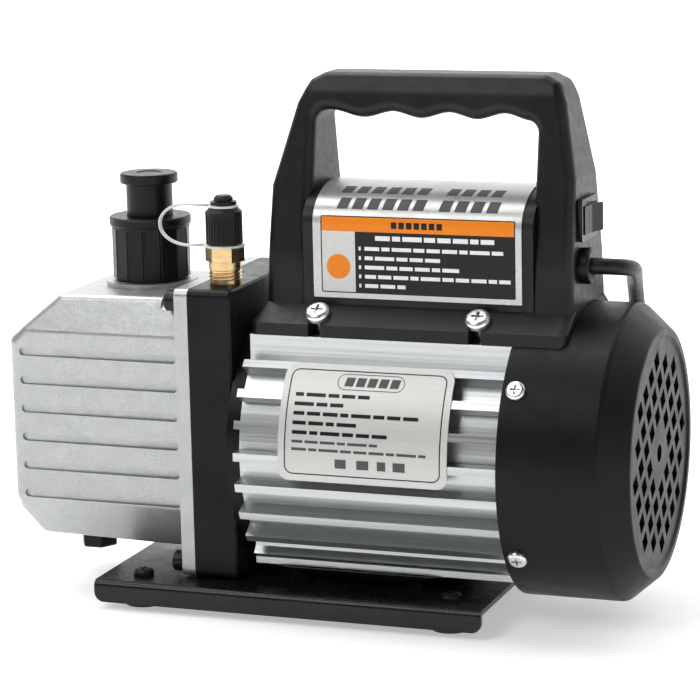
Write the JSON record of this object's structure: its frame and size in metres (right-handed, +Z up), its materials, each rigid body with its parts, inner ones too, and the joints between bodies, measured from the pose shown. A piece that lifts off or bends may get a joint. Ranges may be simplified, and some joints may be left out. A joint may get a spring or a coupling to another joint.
{
  "type": "rotary vane vacuum pump",
  "caption": "Portable rotary-vane vacuum pump with finned motor, oil tank with sight glass, capped inlet and exhaust, carrying handle with rocker switch, steel base and tied mains lead.",
  "frame": {"origin": "on the floor under the middle of the pump's bounding box, the mains lead left out", "axes": "+X along the motor's axis to the fan end, -Y to the nameplate side, +Z up"},
  "size_m": [0.27, 0.228, 0.216],
  "materials": {
    "base_paint": "gloss black powder coat",
    "foot_rubber": "moulded",
    "seal_rubber": "smooth",
    "zinc_steel": "bright zinc plate",
    "black_screws": "black oxide",
    "black_casting": "semi-matt black paint",
    "tank_casting": "silver satin paint",
    "housing_aluminium": "bright extrusion",
    "cover_paint": "satin black",
    "handle_plastic": "fine texture",
    "switch_plastic": "smooth",
    "fitting_plastic": "smooth",
    "inlet_brass": "turned",
    "tether_plastic": "translucent white",
    "clear_glass": "clear",
    "plate_foil": "printed foil",
    "panel_film": "printed film",
    "grey_iron": "machined",
    "core_steel": "stacked sheet",
    "shaft_steel": "ground",
    "copper_wire": "enamelled wire",
    "vane_fibre": "machined",
    "filter_felt": "felt",
    "fan_plastic": "smooth",
    "capacitor_case": "smooth",
    "cord_jacket": "smooth",
    "plug_plastic": "moulded",
    "pin_brass": "nickel plate"
  },
  "bodies": {
    "pump": {"base_plate": "base_paint", "motor_tray": "base_paint", "rubber_feet": "foot_rubber", "tank_gasket": "seal_rubber", "exhaust_seal": "seal_rubber", "shaft_seal": "seal_rubber", "foot_nuts": "zinc_steel", "tray_screws": "zinc_steel", "block_screws": "zinc_steel", "stator_bolts": "zinc_steel", "tie_rods": "zinc_steel", "cover_screws": "zinc_steel", "handle_screws": "zinc_steel", "discharge_reed": "zinc_steel", "reed_stop": "zinc_steel", "reed_screw": "zinc_steel", "foot_screws": "black_screws", "tank_screws": "black_screws", "mounting_block": "black_casting", "front_end_bell": "black_casting", "rear_end_bell": "black_casting", "oil_tank": "tank_casting", "motor_housing": "housing_aluminium", "fan_cover": "cover_paint", "handle_shell": "handle_plastic", "switch_housing": "switch_plastic", "sight_bezel": "fitting_plastic", "drain_plug": "fitting_plastic", "exhaust_body": "fitting_plastic", "cable_gland": "fitting_plastic", "inlet_fitting": "inlet_brass", "cap_tether": "tether_plastic", "sight_glass": "clear_glass", "name_plate": "plate_foil", "label_panel": "panel_film", "pump_stator": "grey_iron", "pump_end_plate": "grey_iron", "stator_core": "core_steel", "front_bearing": "shaft_steel", "rear_bearing": "shaft_steel", "stator_windings": "copper_wire", "exhaust_filter": "filter_felt", "capacitor": "capacitor_case", "cord_run": "cord_jacket", "cord_coil": "cord_jacket", "cord_tail": "cord_jacket", "plug_body": "plug_plastic", "cord_tie": "plug_plastic", "plug_pins": "pin_brass"},
    "rotor": {"motor_shaft": "shaft_steel", "rotor_core": "core_steel", "cooling_fan": "fan_plastic", "shaft_coupling": "shaft_steel", "pump_rotor": "grey_iron", "pump_vanes": "vane_fibre", "vane_springs": "zinc_steel"},
    "cap_lifter": {"cap_washer": "fitting_plastic"},
    "inlet_cap": {"inlet_cap": "fitting_plastic"},
    "exhaust_cap": {"exhaust_cap": "fitting_plastic"},
    "switch_rocker": {"switch_rocker": "switch_plastic"}
  },
  "joints": [
    {"name": "rotor_spin", "type": "hinge", "parent": "pump", "child": "rotor", "pos_m": [0, 0, 0.066], "axis": [1, 0, 0], "continuous": true},
    {"name": "cap_lift", "type": "slide", "parent": "pump", "child": "cap_lifter", "axis": [0, 0, 1], "range_m": [0, 0.01], "deforming": ["cap_tether"]},
    {"name": "cap_turn", "type": "hinge", "parent": "cap_lifter", "child": "inlet_cap", "pos_m": [-0.04, -0.0235, 0.15], "axis": [0, 0, 1], "range_deg": [0, 2830]},
    {"name": "exhaust_cap_lift", "type": "slide", "parent": "pump", "child": "exhaust_cap", "axis": [0, 0, 1], "range_m": [0, 0.02]},
    {"name": "switch_rock", "type": "hinge", "parent": "pump", "child": "switch_rocker", "pos_m": [0.1032, -0.0035, 0.16], "axis": [0, 0, 1], "range_deg": [0, 24]}
  ],
  "couplings": [
    {"joint": "cap_lift", "follows": "cap_turn", "m_per_rad": 0.00020213}
  ]
}
